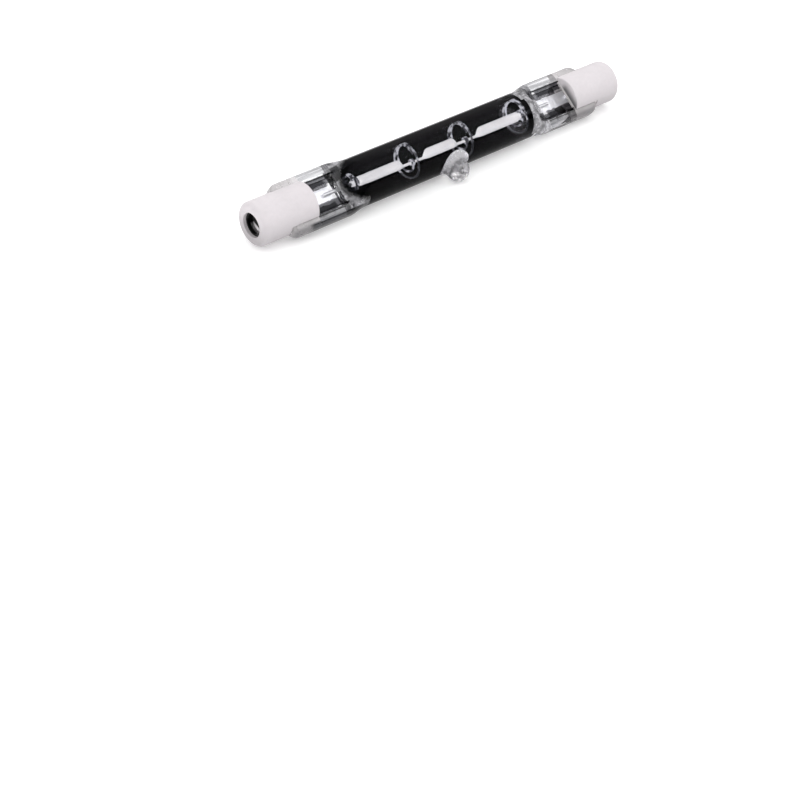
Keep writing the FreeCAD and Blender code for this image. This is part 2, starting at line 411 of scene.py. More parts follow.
def nub_place(patch, ring, direction, grid_place, glass):
    """Outside of the nub: round tip, stem, flared root and the skirt back to the tube."""
    tip_rings, stem_rings, root_rings = 6, 8, 12
    radius = glass.nub_radius
    if ring <= tip_rings:
        polar = math.pi / 2 * ring / tip_rings
        height = glass.nub_reach + radius * math.cos(polar)
        return patch.above(radius * math.sin(polar), direction, height)
    root_height = patch.tube_height(radius, direction)
    if ring <= stem_rings:
        share = (ring - tip_rings) / (stem_rings - tip_rings)
        height = glass.nub_reach + (root_height + NUB_FLARE - glass.nub_reach) * share
        return patch.above(radius, direction, height)
    if ring <= root_rings:
        share = (ring - stem_rings) / (root_rings - stem_rings)
        top = patch.above(radius, direction, root_height + NUB_FLARE)
        corner = patch.above(radius, direction, root_height)
        foot = patch.on_tube(radius + NUB_FLARE, direction)
        return top * (1 - share) ** 2 + corner * 2 * share * (1 - share) + foot * share ** 2
    share = (ring - root_rings) / (patch.rings - root_rings)
    return patch.skirt(radius + NUB_FLARE, share, direction, grid_place)


def channel_place(patch, ring, direction, grid_place):
    """Inside of the nub: a channel that narrows to its seal."""
    reaches = (0.0, 0.28, 0.5, 0.75, 1.1)
    heights = (5.6, 5.3, 4.6, 3.8, 3.15)
    last = len(reaches) - 1
    if ring <= last:
        return patch.above(reaches[ring] * MM, direction, heights[ring] * MM)
    share = (ring - last) / (patch.rings - last)
    return patch.skirt(reaches[last] * MM, share, direction, grid_place)


def pinch_outline(angle, half_width, glass):
    """Pressed outline of a pinch seal: thin web, two beads and round sides."""
    bead_width, bead_slope, squareness = 2.4 * MM, 1.0 * MM, 4.0
    y = half_width * math.cos(angle)
    bead_share = smooth_step((abs(y) - half_width + bead_width) / bead_slope)
    thickness = glass.web_half + (glass.bead_half - glass.web_half) * bead_share
    side = max(0.0, 1 - (abs(y) / half_width) ** squareness) ** (1 / squareness)
    return y, math.copysign(thickness * side, math.sin(angle))


def envelope_place(x, angle, glass):
    """Place on the outside of the envelope, from the round tube to the end of a pinch."""
    along = abs(x)
    radius = glass.tube_radius
    round_y, round_z = radius * math.cos(angle), radius * math.sin(angle)
    if along <= glass.tube_half:
        return Vector((x, round_y, round_z))
    half_width = glass.pinch_half_width
    into_corner = along - (glass.pinch_end - PINCH_CORNER)
    if into_corner > 0:
        half_width -= PINCH_CORNER - math.sqrt(max(0.0, PINCH_CORNER ** 2 - into_corner ** 2))
    flat_y, flat_z = pinch_outline(angle, half_width, glass)
    share = smooth_step((along - glass.tube_half) / glass.shoulder)
    return Vector((x, round_y + (flat_y - round_y) * share, round_z + (flat_z - round_z) * share))


def cavity_place(x, angle, glass):
    """Place on the wall of the gas space, which flattens towards the pinch and then closes."""
    closing_start, closed = 7 / 8, 0.8
    inner = glass.tube_radius - glass.wall
    share = (abs(x) - glass.tube_half) / CAVITY_TIP
    flat = smooth_step(share)
    into_closing = max(0.0, (share - closing_start) / (1 - closing_start))
    closing = math.sqrt(max(0.0, 1 - closed * into_closing ** 2))
    half_width = (inner + (CAVITY_TIP_HALF_WIDTH - inner) * flat) * closing
    half_height = (inner + (CAVITY_TIP_HALF_HEIGHT - inner) * flat) * closing
    return Vector((x, half_width * math.cos(angle), half_height * math.sin(angle)))


def press_rings(tube, patch, place, patch_place):
    """Move each point of the drawn tube to its outline."""
    for vertex in tube.data.vertices:
        angle = math.atan2(vertex.co.z, vertex.co.y)
        grid_place = place(vertex.co.x, angle)
        found = patch.ring_of(vertex.co.x, angle)
        if found is None:
            vertex.co = grid_place
        else:
            vertex.co = patch_place(patch, *found, grid_place)


def both_ways(stations):
    return [-x for x in reversed(stations) if x > 0] + stations


def glass_stations(patch, glass):
    """Stations of the outside, closest in the shoulders and the round corners."""
    tube_steps, shoulder_steps, pinch_steps, corner_steps = 22, 20, 16, 8
    shoulder_end = glass.tube_half + glass.shoulder
    corner_start = glass.pinch_end - PINCH_CORNER
    turns = even_stations(0, math.pi / 2, corner_steps)
    return both_ways(patch.stations(glass.tube_half, tube_steps)
                     + even_stations(glass.tube_half, shoulder_end, shoulder_steps)
                     + even_stations(shoulder_end, corner_start, pinch_steps)
                     + [corner_start + PINCH_CORNER * math.sin(turn) for turn in turns])


def cavity_stations(patch, glass):
    """Stations of the gas space, closest where it closes."""
    tube_steps, tip_steps, closing_steps = 14, 12, 5
    tip_end = glass.tube_half + CAVITY_TIP
    closing_start = tip_end - 0.4 * MM
    return both_ways(patch.stations(glass.tube_half, tube_steps)
                     + even_stations(glass.tube_half, closing_start, tip_steps)
                     + even_stations(closing_start, tip_end, closing_steps))


def model_envelope(glass):
    """Quartz shell: the outside and the gas space as two closed skins of one mesh."""
    sides, patch_rings = 96, 16
    gas_sides, gas_patch_rings = 48, 7
    patch = TubePatch(glass.tube_radius, sides, patch_rings)
    outside = drawn_rings("quartz_glass", glass_stations(patch, glass), sides, patch.radius)
    press_rings(outside, patch, lambda x, angle: envelope_place(x, angle, glass),
                lambda *spot: nub_place(*spot, glass))
    recalculate_normals(outside)
    gas_patch = TubePatch(glass.tube_radius - glass.wall, gas_sides, gas_patch_rings)
    gas = drawn_rings("gas_space", cavity_stations(gas_patch, glass), gas_sides, gas_patch.radius)
    press_rings(gas, gas_patch, lambda x, angle: cavity_place(x, angle, glass), channel_place)
    recalculate_normals(gas, inside=True)
    make_active(outside)
    gas.select_set(True)
    bpy.ops.object.join()
    bpy.ops.object.shade_smooth()
    seat_in_bulb(outside)
    return outside


def reach_from_nub(spot, radius):
    """Distance from the nub's axis, along the tube's surface."""
    away = (math.atan2(spot.z, spot.y) + PINCH_TURN) % (2 * math.pi) - math.pi
    return math.hypot(spot.x, away * radius)


def tongue_reach(across, start, length, half_width):
    """How far from the middle of the bulb a rounded tongue reaches."""
    return start + length * math.sqrt(max(0.0, 1 - (across / half_width) ** 2))


def outside_glass(spot, glass):
    """Kind of glass at a spot on the outside of the envelope."""
    along, across, bead_start = abs(spot.x), abs(spot.y), 3.1 * MM
    left_end = tongue_reach(across, glass.tube_half, glass.left_tongue, glass.tongue_half_width)
    right_end = glass.tube_half - glass.right_bare - glass.right_slant * spot.y
    if reach_from_nub(spot, glass.tube_radius) < glass.nub_radius + NUB_FLARE:
        return "nub"
    # Painted shade: between these ends the tube's glass gets its near-black tint
    if -left_end < spot.x < right_end:
        return "dark"
    if along < glass.tube_half + glass.shoulder:
        return "shoulder"
    if along > cap_low.x:
        return "wing"
    return "seal" if across < bead_start else "bead"


def inside_glass(spot):
    """Kind of glass at a spot on the wall of the gas space, with painted shade in the nub's channel
    and where the gas space ends.
    """
    tongue_start, tongue_length, tongue_half_width = 17.2 * MM, 3.2 * MM, 2.7 * MM
    channel_radius = 1.0 * MM
    outward = Vector((0, -math.cos(PINCH_TURN), math.sin(PINCH_TURN)))
    along_nub = spot.dot(outward)
    if along_nub > 0 and (spot - outward * along_nub).length < channel_radius:
        return "inner_shade"
    reach = tongue_reach(abs(spot.y), tongue_start, tongue_length, tongue_half_width)
    return "inner" if abs(spot.x) < reach else "inner_shade"


def split_glass(envelope, glass):
    """Choose the kind of glass of each face."""
    unseat = SEAT.inverted()
    turn_back = unseat.to_3x3()
    kinds = list(GLASS_KINDS)
    for face in envelope.data.polygons:
        spot = unseat @ face.center
        faces_axis = (turn_back @ face.normal).dot(Vector((0, spot.y, spot.z))) < 0
        kind = inside_glass(spot) if faces_axis else outside_glass(spot, glass)
        face.material_index = kinds.index(kind)


# Wires

def bent_wire(name, points, radius, bevel_resolution):
    """Round wire with closed ends through the points."""
    line = bpy.data.curves.new(name, "CURVE")
    line.dimensions = "3D"
    line.bevel_depth = radius
    line.bevel_resolution = bevel_resolution
    line.use_fill_caps = True
    spline = line.splines.new("POLY")
    spline.points.add(len(points) - 1)
    for spot, point in zip(spline.points, points):
        spot.co = (*point, 1)
    wire = bpy.data.objects.new(name, line)
    bpy.context.scene.collection.objects.link(wire)
    make_active(wire)
    bpy.ops.object.convert(target="MESH")
    wire = start_piece(name)
    recalculate_normals(wire)
    bpy.ops.object.shade_smooth()
    seat_in_bulb(wire)
    return wire


def around(angle, radius):
    """Step from the axis to a point of a turn."""
    return Vector((0, radius * math.cos(angle), radius * math.sin(angle)))


def filament_profile():
    """Place along the axis, outer radius and share of the sag, from the middle to one end."""
    return ((0, COIL_RADIUS, 0), (LINK_START - COIL_TAPER, COIL_RADIUS, 0),
            (LINK_START, LINK_RADIUS, 1), (LINK_END, LINK_RADIUS, 1),
            (LINK_END + COIL_TAPER, COIL_RADIUS, 0), (TAIL_START - TAIL_TAPER, COIL_RADIUS, 0),
            (TAIL_START, TAIL_RADIUS, 0), (TAIL_END, TAIL_RADIUS, 0))


def filament_form(x):
    """Outer radius of the wound wire at x and share of the sag."""
    profile = filament_profile()
    for (start, radius, sag), (end, next_radius, next_sag) in zip(profile, profile[1:]):
        if abs(x) <= end:
            share = smooth_step((abs(x) - start) / (end - start))
            return radius + (next_radius - radius) * share, sag + (next_sag - sag) * share
    return TAIL_RADIUS, 0


def model_filament(wires):
    """One fine wire wound from end to end, wide in the coils and thin in the links."""
    points_per_turn = 12
    half_length = TAIL_END - wires.wire_radius
    turns = 2 * half_length / wires.wire_pitch
    steps = round(turns * points_per_turn)
    points = []
    for step in range(steps + 1):
        x = -half_length + 2 * half_length * step / steps
        outer, sag = filament_form(x)
        centre = Vector((x, 0, 0)) + HANGING * wires.link_sag * sag
        points.append(centre + around(2 * math.pi * turns * step / steps,
                                      outer - wires.wire_radius))
    return bent_wire("filament_wire", points, wires.wire_radius, bevel_resolution=1)


def widest_turn(x, glass, wires):
    """Radius of a turn that is clear of the wall of the gas space at x."""
    inner = glass.tube_radius - glass.wall
    slope = (inner - CAVITY_TIP_HALF_HEIGHT) / CAVITY_TIP
    into_shoulder = max(0.0, abs(x) - glass.tube_half)
    margin = SUPPORT_CLEARANCE + wires.support_radius
    if into_shoulder:
        margin *= math.hypot(1, slope)
    return inner - slope * into_shoulder - margin


def support_points(grip_radius, sag, grip_start, outer, wires):
    """Spiral that grips the filament, then opens out to the wall further left."""
    points_per_turn = 32
    inner = grip_radius + SUPPORT_CLEARANCE + wires.support_radius
    total = GRIP_TURNS + SPREAD_TURNS + WALL_TURNS
    steps = round(total * points_per_turn)
    points = []
    for step in range(steps + 1):
        turns = total * step / steps
        spread = min(max(turns - GRIP_TURNS, 0.0), SPREAD_TURNS) / SPREAD_TURNS
        along = min(turns, GRIP_TURNS) * GRIP_PITCH + spread * SPREAD_LENGTH
        along += max(turns - GRIP_TURNS - SPREAD_TURNS, 0.0) * WALL_PITCH
        open_share = smooth_step(spread)
        centre = Vector((grip_start - along, 0, 0)) + HANGING * sag * (1 - open_share)
        points.append(centre + around(2 * math.pi * turns, inner + (outer - inner) * open_share))
    return points


def support_forms(glass, wires):
    """Grip radius, sag, start and outer radius of each support."""
    link_middle = (LINK_START + LINK_END) / 2
    grip_length = GRIP_TURNS * GRIP_PITCH
    length = grip_length + SPREAD_LENGTH + WALL_TURNS * WALL_PITCH
    left_start = -TAIL_START - wires.support_radius - SUPPORT_CLEARANCE
    right_start = TAIL_START + END_GRIP_GAP + grip_length
    wide = widest_turn(0, glass, wires)
    narrow = widest_turn(left_start - length, glass, wires)
    return {"left_end": (TAIL_RADIUS, 0, left_start, narrow),
            "left_middle": (LINK_RADIUS, wires.link_sag, -link_middle, wide),
            "right_middle": (LINK_RADIUS, wires.link_sag, link_middle, wide),
            "right_end": (TAIL_RADIUS, 0, right_start, wide)}


# Foils

def model_foil():
    """Thin rolled strip with the faint cross ripples that the pressing leaves."""
    start, end, half_width = 23.3 * MM, 30.7 * MM, 1.2 * MM
    top, thickness = -0.3 * MM, 0.06 * MM
    depth = 0.02 * MM
    waves = ((0.3, 5.1, 0.8), (0.2, 9.3, -2.2))
    deselect_all()
    bpy.ops.mesh.primitive_grid_add(x_subdivisions=74, y_subdivisions=16, size=1,
                                    location=((start + end) / 2, 0, top - thickness))
    foil = start_piece("right_foil_strip")
    foil.scale = (end - start, 2 * half_width, 1)
    apply_place(foil)
    for vertex in foil.data.vertices:
        x, y = vertex.co.x / MM, vertex.co.y / MM
        ripple = sum(share * math.sin(along * x + across * y) for share, along, across in waves)
        vertex.co.z -= depth * (0.5 + ripple)
    apply_modifier(foil, "SOLIDIFY", thickness=thickness, offset=1)
    recalculate_normals(foil)
    bpy.ops.object.shade_smooth_by_angle(angle=math.radians(40))
    return foil


# Caps and contacts

def add_round(name, radius, start, end, sides):
    """Round bar on the X axis from start to end."""
    deselect_all()
    bpy.ops.mesh.primitive_cylinder_add(vertices=sides, radius=radius, depth=end - start,
                                        location=((start + end) / 2, 0, 0),
                                        rotation=(0, math.pi / 2, 0))
    bar = start_piece(name)
    apply_place(bar)
    return bar


def start_selecting(piece, mode):
    """Clear the selection of a piece's edges or faces."""
    edit_whole(piece)
    bpy.ops.mesh.select_mode(type=mode)
    bpy.ops.mesh.select_all(action="DESELECT")
    leave_edit()


def select_rim(piece, x):
    """Enter edit mode with the edges at x."""
    start_selecting(piece, "EDGE")
    vertices = piece.data.vertices
    for edge in piece.data.edges:
        edge.select = all(abs(vertices[index].co.x - x) < 1e-6 for index in edge.vertices)
    bpy.ops.object.mode_set(mode="EDIT")


def select_end_face(piece, x):
    """Enter edit mode with the flat faces at x."""
    start_selecting(piece, "FACE")
    for face in piece.data.polygons:
        face.select = abs(face.center.x - x) < 1e-6 and abs(face.normal.x) > 0.9
    bpy.ops.object.mode_set(mode="EDIT")


def push_in(depth):
    """Extrude the selected end face into the piece."""
    bpy.ops.mesh.extrude_region_move(TRANSFORM_OT_translate={"value": (-depth, 0, 0)})


def cut_with(piece, cutter):
    """Take the cutter's form out of the piece."""
    apply_modifier(piece, "BOOLEAN", operation="DIFFERENCE", solver="EXACT", object=cutter)
    bpy.data.objects.remove(cutter)


def soften_edges(piece, width, sharp_angle, smooth_angle):
    """Small round on all edges sharper than an angle in degrees, and smooth shading."""
    apply_modifier(piece, "BEVEL", width=width, segments=3, limit_method="ANGLE",
                   angle_limit=math.radians(sharp_angle), harden_normals=True)
    bpy.ops.object.shade_smooth_by_angle(angle=math.radians(smooth_angle))


def slot_cutter(caps, inner, slot_end):
    """Block as wide as the slot, which starts in front of the cap's mouth."""
    start = inner - MM
    deselect_all()
    bpy.ops.mesh.primitive_cube_add(size=1, location=((start + slot_end) / 2, 0, 0))
    cutter = start_piece("slot_cutter")
    cutter.scale = (slot_end - start, 4 * caps.radius, 2 * caps.slot_half)
    apply_place(cutter)
    return cutter


def model_cap(caps):
    """Moulded ceramic cap with its recess and the slot for the pinch seal."""
    outer = cap_high.x
    inner = outer - caps.length
    recess_depth, mouth_edge = 2.0 * MM, 0.2 * MM
    slot_end, bore_end, bore_radius = 33.9 * MM, outer - 0.5 * MM, 0.7 * MM
    shortest_edge, soft_edge = 0.06 * MM, 0.07 * MM
    cap = add_round("right_cap_ceramic", caps.radius, inner, outer, sides=128)
    for end, width, segments in ((outer, caps.edge, 8), (inner, mouth_edge, 2)):
        select_rim(cap, end)
        bpy.ops.mesh.bevel(offset=width, segments=segments, profile=0.5, affect="EDGES")
        leave_edit()
    select_end_face(cap, outer)
    bpy.ops.mesh.inset(thickness=caps.radius - caps.edge - caps.recess_radius)
    push_in(recess_depth)
    leave_edit()
    cut_with(cap, slot_cutter(caps, inner, slot_end))
    cut_with(cap, add_round("bore_cutter", bore_radius, slot_end - MM, bore_end, sides=32))
    edit_whole(cap)
    bpy.ops.mesh.remove_doubles(threshold=shortest_edge)
    leave_edit()
    soften_edges(cap, soft_edge, sharp_angle=40, smooth_angle=35)
    return cap


def model_contact(caps):
    """Pressed cup whose rim lines the recess, with a dimple in its floor."""
    back, floor, rim = 37.15 * MM, 37.45 * MM, 38.65 * MM
    wall, play, soft_edge = 0.25 * MM, 0.05 * MM, 0.06 * MM
    dimple_steps = ((0.3 * MM, 0), (0.5 * MM, 0.05 * MM), (0.5 * MM, 0.08 * MM))
    cup = add_round("right_contact_cup", caps.recess_radius - play, back, rim, sides=96)
    select_end_face(cup, rim)
    bpy.ops.mesh.inset(thickness=wall)
    push_in(rim - floor)
    for width, drop in dimple_steps:
        bpy.ops.mesh.inset(thickness=width)
        bpy.ops.transform.translate(value=(-drop, 0, 0))
    leave_edit()
    soften_edges(cup, soft_edge, sharp_angle=50, smooth_angle=30)
    return cup


# Node trees

Place = namedtuple("Place", "vector x y z")


def opaque(colour):
    return (*colour, 1)


def faded(colour, share):
    return tuple(channel * share for channel in colour)


def set_inputs(tree, node, values):
    """Link each input to a socket, or set it to a value."""
    for key, value in values.items():
        if isinstance(value, bpy.types.NodeSocket):
            tree.links.new(value, node.inputs[key])
        else:
            node.inputs[key].default_value = value


def add_node(tree, kind, inputs=None, **settings):
    node = tree.nodes.new(kind)
    for key, value in settings.items():
        setattr(node, key, value)
    set_inputs(tree, node, inputs or {})
    return node


def arrange_nodes(tree):
    """Lay the nodes out in columns, each to the left of the nodes that it feeds."""
    column_width, row_height = 220, 320
    columns = {node.name: 0 for node in tree.nodes}
    for _ in tree.nodes:
        for link in tree.links:
            left, right = link.from_node.name, link.to_node.name
            columns[left] = max(columns[left], columns[right] + 1)
    rows = {}
    for name, column in columns.items():
        row = rows.get(column, 0)
        rows[column] = row + 1
        tree.nodes[name].location = (-column * column_width, -row * row_height)


def calculate(tree, operation, *values):
    """Result of a math node."""
    inputs = dict(enumerate(values))
    return add_node(tree, "ShaderNodeMath", inputs, operation=operation).outputs[0]


def mix_values(tree, share, first, second):
    inputs = {"Factor": share, "A": first, "B": second}
    return add_node(tree, "ShaderNodeMix", inputs, data_type="FLOAT").outputs["Result"]


def mix_colours(tree, share, first, second):
    """The first colour turned into the second, through the numbered sockets for colours."""
    first_colour, second_colour, result = 6, 7, 2
    inputs = {"Factor": share, first_colour: first, second_colour: second}
    return add_node(tree, "ShaderNodeMix", inputs, data_type="RGBA").outputs[result]


def noise(tree, vector, scale, detail):
    inputs = {"Vector": vector, "Scale": scale, "Detail": detail}
    return add_node(tree, "ShaderNodeTexNoise", inputs).outputs["Fac"]


def length_of(tree, first, second):
    """Length of a vector with two components."""
    corner = add_node(tree, "ShaderNodeCombineXYZ", {0: first, 1: second}).outputs[0]
    return add_node(tree, "ShaderNodeVectorMath", {0: corner}, operation="LENGTH").outputs["Value"]


def edge(tree, value, outside, inside):
    """Mask that turns from 0 to 1 where the value goes from outside to inside."""
    inputs = {"Value": value, "From Min": min(outside, inside), "From Max": max(outside, inside),
              "To Min": float(outside > inside), "To Max": float(outside < inside)}
    return add_node(tree, "ShaderNodeMapRange", inputs,
                    interpolation_type="SMOOTHSTEP").outputs["Result"]


def object_place(tree):
    """Object coordinates, in metres."""
    return add_node(tree, "ShaderNodeTexCoord").outputs["Object"]


def split_place(tree, vector):
    parts = add_node(tree, "ShaderNodeSeparateXYZ", {"Vector": vector}).outputs
    return Place(vector, *parts)


def bulb_place(tree):
    """Coordinates in millimetres with the bulb's axis on X and the pinch seals flat."""
    inputs = {"Vector": object_place(tree), "Location": AXIS, "Rotation": (ROLL, 0, 0),
              "Scale": (MM, MM, MM)}
    mapping = add_node(tree, "ShaderNodeMapping", inputs, vector_type="TEXTURE")
    return split_place(tree, mapping.outputs["Vector"])


def uneven_distance(tree, place, coordinate, amount):
    """Distance from the middle, in millimetres, made uneven by a noise."""
    wobble = calculate(tree, "SUBTRACT", noise(tree, place.vector, scale=0.8, detail=3), 0.5)
    distance = calculate(tree, "ABSOLUTE", coordinate)
    return calculate(tree, "MULTIPLY_ADD", wobble, amount, distance)


def left_half(tree, place):
    """Mask that is on in the left half of the bulb."""
    return edge(tree, place.x, 0.0, -1.0)


def recolour(tree, shader, colour, masks):
    """Turn the shader's colour into another one where all the masks are on."""
    mask = masks[0]
    for other in masks[1:]:
        mask = calculate(tree, "MULTIPLY", mask, other)
    base = shader.inputs["Base Color"]
    mixed = mix_colours(tree, mask, base.links[0].from_socket, opaque(colour))
    tree.links.new(mixed, base)


def make_grain_group():
    """Node group: two shades mixed by fine grain and broad clouds, and the grain's height."""
    group = bpy.data.node_groups.new("fine grain", "ShaderNodeTree")
    sockets = {"INPUT": {"Light": "Color", "Dark": "Color", "Grain size": "Float",
                         "Cloud size": "Float", "Low roughness": "Float",
                         "High roughness": "Float"},
               "OUTPUT": {"Color": "Color", "Roughness": "Float", "Height": "Float"}}
    for way, kinds in sockets.items():
        for name, kind in kinds.items():
            group.interface.new_socket(name=name, socket_type=f"NodeSocket{kind}", in_out=way)
    given = add_node(group, "NodeGroupInput").outputs
    place = object_place(group)
    grain = noise(group, place, given["Grain size"], detail=4)
    clouds = noise(group, place, given["Cloud size"], detail=3)
    inputs = {"Value": mix_values(group, 0.5, grain, clouds), "From Min": 0.35, "From Max": 0.65}
    spread = add_node(group, "ShaderNodeMapRange", inputs).outputs["Result"]
    inputs = {"Value": spread, "To Min": given["Low roughness"], "To Max": given["High roughness"]}
    roughness = add_node(group, "ShaderNodeMapRange", inputs).outputs["Result"]
    shades = mix_colours(group, spread, given["Dark"], given["Light"])
    add_node(group, "NodeGroupOutput", {"Color": shades, "Roughness": roughness, "Height": grain})
    arrange_nodes(group)
    return group


# Materials

def new_material(name):
    material = bpy.data.materials.new(name)
    material.use_nodes = True
    return material, material.node_tree, material.node_tree.nodes["Principled BSDF"]


def grained_material(name, light, dark, grain, cloud, roughness, bump, depth=0.05):
    """Material whose shades, roughness and bump, depth in mm, come from the grain group."""
    material, tree, shader = new_material(name)
    node_group = bpy.data.node_groups.get("fine grain") or make_grain_group()
    low, high = roughness
    inputs = {"Light": opaque(light), "Dark": opaque(dark), "Grain size": grain,
              "Cloud size": cloud, "Low roughness": low, "High roughness": high}
    surface = add_node(tree, "ShaderNodeGroup", inputs, node_tree=node_group).outputs
    inputs = {"Height": surface["Height"], "Strength": bump, "Distance": depth * MM}
    bumps = add_node(tree, "ShaderNodeBump", inputs)
    set_inputs(tree, shader, {"Base Color": surface["Color"], "Roughness": surface["Roughness"],
                              "Normal": bumps.outputs["Normal"]})
    return material, tree, shader


def glass_material(name, colour, refraction, roughness, bump):
    material, tree, shader = grained_material(name, colour, faded(colour, 0.9), grain=220,
                                              cloud=60, roughness=roughness, bump=bump)
    set_inputs(tree, shader, {"Transmission Weight": 1.0, "IOR": refraction})
    return material, tree, shader


def cloudy_material(name, light, dark, grain, cloud, transmission, bump, depth=0.05):
    """Glass that is partly white, with dark specks."""
    material, tree, shader = grained_material(name, light, dark, grain, cloud,
                                              (0.12, 0.35), bump, depth)
    set_inputs(tree, shader, {"Transmission Weight": transmission, "IOR": 1.46})
    return material, tree, shader


def metal_material(name, light, dark, grain, cloud, roughness, bump, glow=0.0):
    material, tree, shader = grained_material(name, light, dark, grain, cloud, roughness, bump)
    set_inputs(tree, shader, {"Metallic": 1.0})
    if glow:
        set_inputs(tree, shader, {"Emission Color": opaque(light), "Emission Strength": glow})
    return material, tree, shader


def add_lower_edge_shade(tree, shader, place, glass):
    """Painted shade: dark line along the lower edge of the left pinch seal, where the dark tube
    shows through.
    """
    lower_edge = (-3.85, -4.1)
    recolour(tree, shader, glass.tube_shade_colour,
             [edge(tree, place.y, *lower_edge), left_half(tree, place)])


def add_tongue_edge(tree, shader, place, glass):
    """Painted shade: soft end of the dark tube's tint where it runs into the left shoulder."""
    unevenness, soft_edge = 0.5, (1.25, 1.02)
    along = uneven_distance(tree, place, place.x, unevenness)
    into_shoulder = calculate(tree, "SUBTRACT", along, glass.tube_half / MM)
    into_shoulder = calculate(tree, "MAXIMUM", into_shoulder, 0.0)
    length_share = calculate(tree, "DIVIDE", into_shoulder, glass.left_tongue / MM)
    width_share = calculate(tree, "DIVIDE", place.y, glass.tongue_half_width / MM)
    reach = length_of(tree, length_share, width_share)
    recolour(tree, shader, glass.tube_shade_colour,
             [edge(tree, reach, *soft_edge), left_half(tree, place)])


def make_shade_tinted_tube(glass):
    """Painted shade: glass tinted near black, nearly without refraction, so that the filament shows
    in its place.
    """
    return glass_material("shade tinted quartz", glass.tube_shade_colour, refraction=1.1,
                          roughness=(0.02, 0.05), bump=0.02)[0]


def make_inner_wall(glass):
    """The wall of the gas space takes no light away a second time."""
    return glass_material("inner wall", (1, 1, 1), refraction=1.1,
                          roughness=(0.02, 0.05), bump=0.02)[0]


# Painted shade: the near-black lining where the gas space ends and in the nub's channel
def make_inner_shade_end(glass):
    return glass_material("smoky end", glass.inner_shade_colour, refraction=1.1,
                          roughness=(0.05, 0.15), bump=0.05)[0]


def make_bead_glass(glass):
    """Clear glass with grey drawn streaks, densest in the lower edge of a pinch seal, and a painted
    shade line along the left lower edge.
    """
    bead, tree, shader = glass_material("clear quartz", glass.clear_colour, refraction=1.46,
                                        roughness=(0.03, 0.08), bump=0.05)
    drawn_out, lower_half = (0.12, 2.0, 2.0), (0.0, -1.0)
    grey, dark_grey = (0.4, 0.4, 0.42), (0.32, 0.32, 0.34)
    place = bulb_place(tree)
    drawn = add_node(tree, "ShaderNodeVectorMath", {0: place.vector, 1: drawn_out},
                     operation="MULTIPLY").outputs[0]
    streaks = noise(tree, drawn, scale=1.0, detail=2)
    recolour(tree, shader, grey, [edge(tree, streaks, 0.36, 0.52)])
    recolour(tree, shader, dark_grey,
             [edge(tree, streaks, 0.4, 0.54), edge(tree, place.y, *lower_half)])
    add_lower_edge_shade(tree, shader, place, glass)
    return bead


def make_seal_glass(glass):
    """Clear glass over the foil, with painted shade in the web on both sides of it."""
    seal, tree, shader = glass_material("seal quartz", glass.clear_colour, refraction=1.15,
                                        roughness=(0.03, 0.08), bump=0.05)
    beside_foil, beside_bead = (1.25, 1.45), (3.0, 2.6)
    after_shoulder, before_cap = (22.5, 23.1), (28.6, 28.3)
    place = bulb_place(tree)
    across = uneven_distance(tree, place, place.y, 0.8)
    along = uneven_distance(tree, place, place.x, 1.5)
    recolour(tree, shader, glass.shade_colour,
             [edge(tree, across, *beside_foil), edge(tree, across, *beside_bead),
              edge(tree, along, *after_shoulder), edge(tree, along, *before_cap)])
    return seal


def make_nub_glass(glass):
    """Cloudy glass of the melted exhaust nub, with painted light making it whitest on the upper side
    where it leaves the tube.
    """
    nub, tree, shader = cloudy_material("cloudy nub", glass.nub_colour, (0.06, 0.06, 0.07),
                                        grain=1900, cloud=1100, transmission=0.45, bump=1.0,
                                        depth=0.12)
    lit_upper_side, root, white = (1.2, 2.4), (5.1, 4.5), (0.85, 0.84, 0.88)
    place = bulb_place(tree)
    from_axis = length_of(tree, place.y, place.z)
    recolour(tree, shader, white,
             [edge(tree, place.z, *lit_upper_side), edge(tree, from_axis, *root)])
    return nub


def make_wing_glass(glass):
    """Frosted glass of a pinch seal inside its cap, with painted shade: greyer below and dark at the
    left mouth.
    """
    wing, tree, shader = cloudy_material("frosted wing", glass.wing_colour,
                                         faded(glass.wing_colour, 0.75), grain=500, cloud=180,
                                         transmission=0.35, bump=0.3)
    shaded_lower_side, lower_edge, beside_mouth = (-3.2, -4.5), (-3.6, -4.1), (-31.0, -29.6)
    grey = (0.3, 0.29, 0.3)
    place = bulb_place(tree)
    recolour(tree, shader, grey, [edge(tree, place.y, *shaded_lower_side)])
    recolour(tree, shader, glass.shade_colour,
             [edge(tree, place.y, *lower_edge), edge(tree, place.x, *beside_mouth),
              left_half(tree, place)])
    return wing


def make_shoulder_glass(glass):
    """Clouded glass of the shoulders, with painted shade where the tube's glass runs into it and
    beside the foil and the lead.
    """
    shoulder, tree, shader = cloudy_material("clouded shoulder", glass.milky_colour,
                                             (0.03, 0.03, 0.035), grain=1300, cloud=450,
                                             transmission=0.4, bump=1.0)
    right_start, beside_foil, beside_bead = (19.3, 19.9), (1.25, 1.45), (3.2, 2.8)
    left_start, beside_lead = (-20.6, -21.0), (0.9, 1.2)
    upper_half, upper_edge = (0.0, 0.5), (3.6, 3.2)
    place = bulb_place(tree)
    across = uneven_distance(tree, place, place.y, 0.8)
    recolour(tree, shader, glass.shade_colour,
             [edge(tree, place.x, *right_start), edge(tree, across, *beside_foil),
              edge(tree, across, *beside_bead)])
    recolour(tree, shader, glass.shade_colour,
             [edge(tree, place.x, *left_start), edge(tree, across, *beside_lead),
              edge(tree, place.y, *upper_half), edge(tree, place.y, *upper_edge)])
    add_tongue_edge(tree, shader, place, glass)
    add_lower_edge_shade(tree, shader, place, glass)
    return shoulder


GLASS_KINDS = {"dark": make_shade_tinted_tube, "bead": make_bead_glass, "seal": make_seal_glass,
               "wing": make_wing_glass, "nub": make_nub_glass, "shoulder": make_shoulder_glass,
               "inner": make_inner_wall, "inner_shade": make_inner_shade_end}


